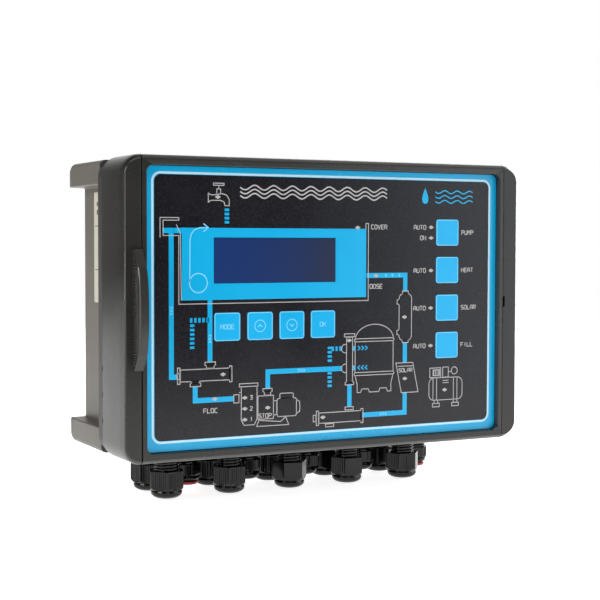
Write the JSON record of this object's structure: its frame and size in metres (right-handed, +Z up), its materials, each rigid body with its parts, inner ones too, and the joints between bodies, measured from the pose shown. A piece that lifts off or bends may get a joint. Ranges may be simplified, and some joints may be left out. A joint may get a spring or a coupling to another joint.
{
  "type": "wall-mounted pool controller",
  "caption": "Wall-mounted pool controller box with a hinged lid, lever latch, membrane panel, character display, keys and cable glands.",
  "frame": {"origin": "centre of the flat back face that lies against the wall", "axes": "+Y into the wall, the panel faces -Y, +X to the right seen from the front, +Z up"},
  "size_m": [0.2596, 0.112, 0.196],
  "materials": {
    "base_plastic": "dark warm grey moulded plastic, fine satin grain",
    "lid_plastic": "dark grey moulded plastic, satin",
    "steel": "bright drawn steel",
    "gasket_rubber": "soft matt rubber",
    "overlay_film": "printed film with a fine texture, black field and blue border",
    "key_film": "bright blue printed film with a pale outline",
    "window": "tinted clear film",
    "display": "dark blue display glass in a metal bezel",
    "board": "green solder mask",
    "winding": "dark encapsulated transformer",
    "relay_case": "dark blue moulded cover",
    "terminal": "green moulded terminals",
    "dark_part": "black moulded part",
    "label": "pale paper label, blank",
    "gland_nylon": "black nylon, semi gloss",
    "cap_red": "dark red plastic cap"
  },
  "bodies": {
    "base": {"base_shell": "base_plastic", "hinge_pin_lower": "steel", "hinge_pin_upper": "steel", "main_board": "board", "transformer": "winding", "relay_1": "relay_case", "relay_2": "relay_case", "relay_3": "relay_case", "relay_4": "relay_case", "terminal_block_left": "terminal", "terminal_block_right": "terminal", "fuse_holder": "dark_part", "capacitor": "dark_part", "rating_label": "label", "gland_body_front_1": "gland_nylon", "gland_nut_front_1": "gland_nylon", "gland_body_front_2": "gland_nylon", "gland_nut_front_2": "gland_nylon", "gland_body_front_3": "gland_nylon", "gland_nut_front_3": "gland_nylon", "gland_body_front_4": "gland_nylon", "gland_nut_front_4": "gland_nylon", "gland_body_front_5": "gland_nylon", "gland_nut_front_5": "gland_nylon", "gland_body_rear_1": "gland_nylon", "gland_nut_rear_1": "gland_nylon", "gland_body_rear_2": "gland_nylon", "gland_nut_rear_2": "gland_nylon", "gland_body_rear_3": "gland_nylon", "gland_nut_rear_3": "gland_nylon", "gland_body_rear_4": "gland_nylon", "gland_nut_rear_4": "gland_nylon", "gland_body_rear_5": "gland_nylon", "gland_nut_rear_5": "gland_nylon", "blank_plug_1": "gland_nylon", "blank_plug_2": "gland_nylon", "blank_plug_3": "gland_nylon", "blank_plug_4": "gland_nylon", "blank_plug_5": "gland_nylon", "plug_cap_1": "cap_red", "plug_cap_5": "cap_red"},
    "lid": {"lid_frame": "lid_plastic", "right_strip": "lid_plastic", "latch_pin": "steel", "latch_spring": "steel", "lid_gasket": "gasket_rubber", "membrane_overlay": "overlay_film", "display_window": "window", "display_module": "display", "display_board": "board"},
    "latch": {"latch_strip": "lid_plastic"},
    "key_mode_body": {"key_mode": "key_film"},
    "key_up_body": {"key_up": "key_film"},
    "key_down_body": {"key_down": "key_film"},
    "key_ok_body": {"key_ok": "key_film"},
    "key_pump_body": {"key_pump": "key_film"},
    "key_heat_body": {"key_heat": "key_film"},
    "key_solar_body": {"key_solar": "key_film"},
    "key_fill_body": {"key_fill": "key_film"}
  },
  "joints": [
    {"name": "lid_hinge", "type": "hinge", "parent": "base", "child": "lid", "pos_m": [0.1285, -0.0635, 0], "axis": [0, 0, 1], "range_deg": [0, 110]},
    {"name": "latch_pivot", "type": "hinge", "parent": "lid", "child": "latch", "pos_m": [-0.1199, -0.0944, 0], "axis": [0, 0, 1], "range_deg": [0, 6], "stiffness_Nm_per_rad": 0.8},
    {"name": "key_mode_press", "type": "slide", "parent": "lid", "child": "key_mode_body", "axis": [0, 1, 0], "range_m": [0, 0.0004], "stiffness_N_per_m": 1500},
    {"name": "key_up_press", "type": "slide", "parent": "lid", "child": "key_up_body", "axis": [0, 1, 0], "range_m": [0, 0.0004], "stiffness_N_per_m": 1500},
    {"name": "key_down_press", "type": "slide", "parent": "lid", "child": "key_down_body", "axis": [0, 1, 0], "range_m": [0, 0.0004], "stiffness_N_per_m": 1500},
    {"name": "key_ok_press", "type": "slide", "parent": "lid", "child": "key_ok_body", "axis": [0, 1, 0], "range_m": [0, 0.0004], "stiffness_N_per_m": 1500},
    {"name": "key_pump_press", "type": "slide", "parent": "lid", "child": "key_pump_body", "axis": [0, 1, 0], "range_m": [0, 0.0004], "stiffness_N_per_m": 1500},
    {"name": "key_heat_press", "type": "slide", "parent": "lid", "child": "key_heat_body", "axis": [0, 1, 0], "range_m": [0, 0.0004], "stiffness_N_per_m": 1500},
    {"name": "key_solar_press", "type": "slide", "parent": "lid", "child": "key_solar_body", "axis": [0, 1, 0], "range_m": [0, 0.0004], "stiffness_N_per_m": 1500},
    {"name": "key_fill_press", "type": "slide", "parent": "lid", "child": "key_fill_body", "axis": [0, 1, 0], "range_m": [0, 0.0004], "stiffness_N_per_m": 1500}
  ]
}
